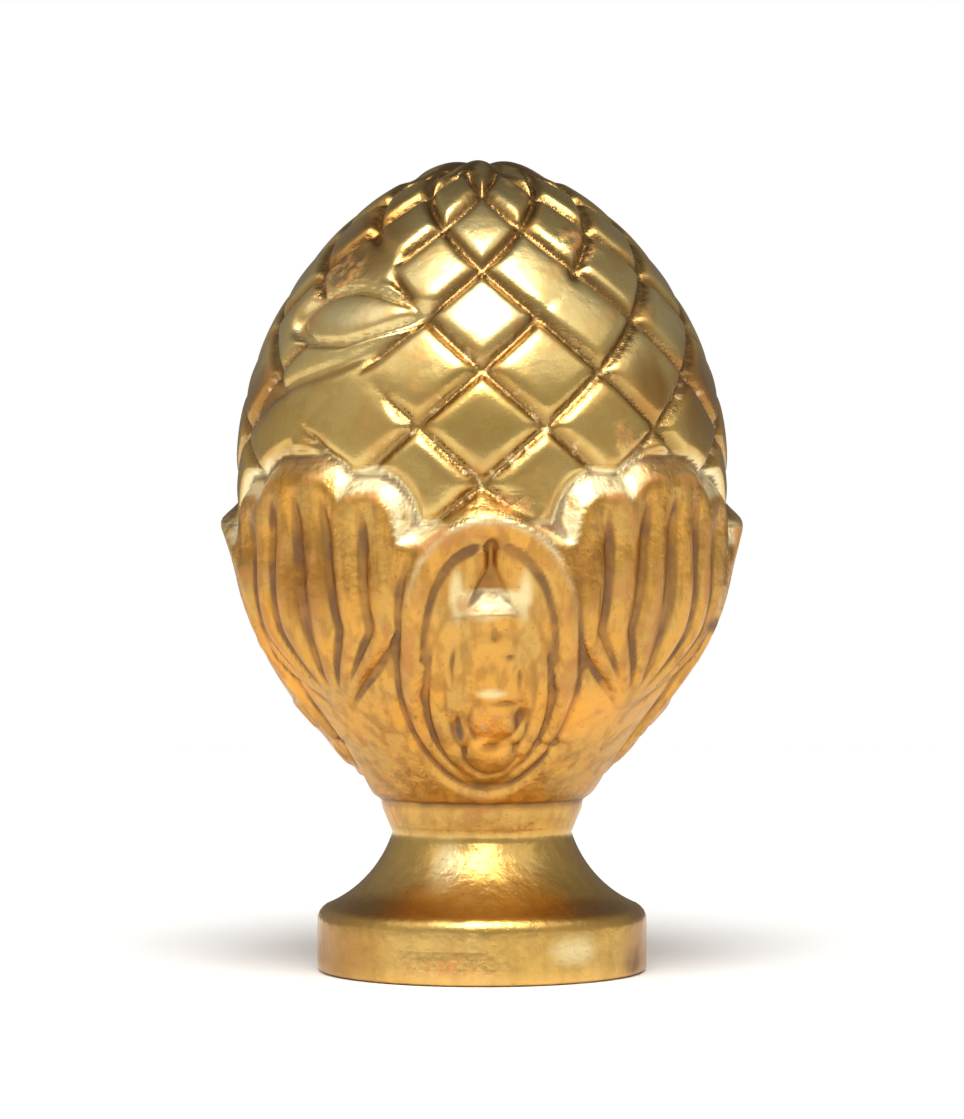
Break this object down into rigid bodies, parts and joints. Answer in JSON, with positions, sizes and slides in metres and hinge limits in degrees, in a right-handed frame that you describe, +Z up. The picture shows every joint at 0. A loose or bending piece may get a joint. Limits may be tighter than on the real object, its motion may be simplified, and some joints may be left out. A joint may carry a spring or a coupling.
{
  "type": "pineapple finial",
  "caption": "Carved pineapple finial: an egg of diamond scales held in a cup of lobed leaves and hooded tongues, on a waisted neck and round foot.",
  "frame": {"origin": "centre of the underside of the foot, the bottom centre of the whole box", "axes": "+Z up along the turned axis to the tip, -Y towards the front tongue, +X to the right as seen from the front"},
  "size_m": [0.0796, 0.0796, 0.1227],
  "materials": {
    "gold_leaf": "gold leaf over red bole on carved wood, burnished, rubbed through to the bole on edges and in the leaves"
  },
  "bodies": {
    "root": {"pineapple_finial": "gold_leaf"}
  },
  "joints": []
}
